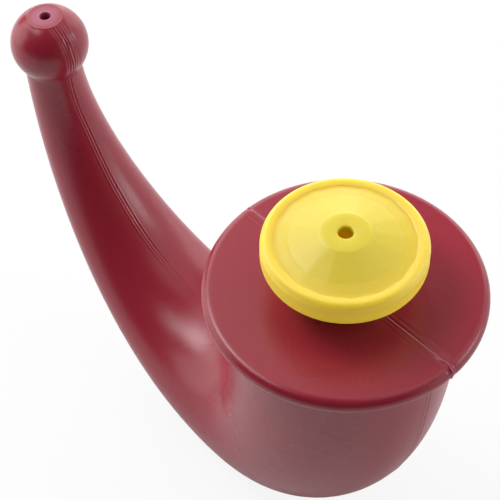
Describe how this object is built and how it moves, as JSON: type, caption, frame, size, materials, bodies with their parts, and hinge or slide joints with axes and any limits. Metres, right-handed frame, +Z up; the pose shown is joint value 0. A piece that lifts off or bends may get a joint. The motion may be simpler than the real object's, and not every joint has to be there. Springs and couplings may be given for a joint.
{
  "type": "neti pot",
  "caption": "Hollow horn-shaped nose-rinsing pot with a flat flange, a ball nasal tip with an outlet hole, and a push-in stopper with a facetted dome and a vent hole.",
  "frame": {"origin": "on the resting face under the bend of the horn, in the plane of symmetry", "axes": "+Z up, along the axis of the filling mouth; the spout points towards -X; the plane of symmetry is XZ"},
  "size_m": [0.1747, 0.078, 0.1234],
  "materials": {
    "pot": "satin, translucent-looking maroon polyethylene",
    "stopper": "satin yellow polyethylene"
  },
  "bodies": {
    "pot": {"pot": "pot"},
    "stopper": {"stopper": "stopper"}
  },
  "joints": [
    {"name": "stopper_pull", "type": "slide", "parent": "pot", "child": "stopper", "axis": [0, 0, 1], "range_m": [0, 0.015]}
  ]
}
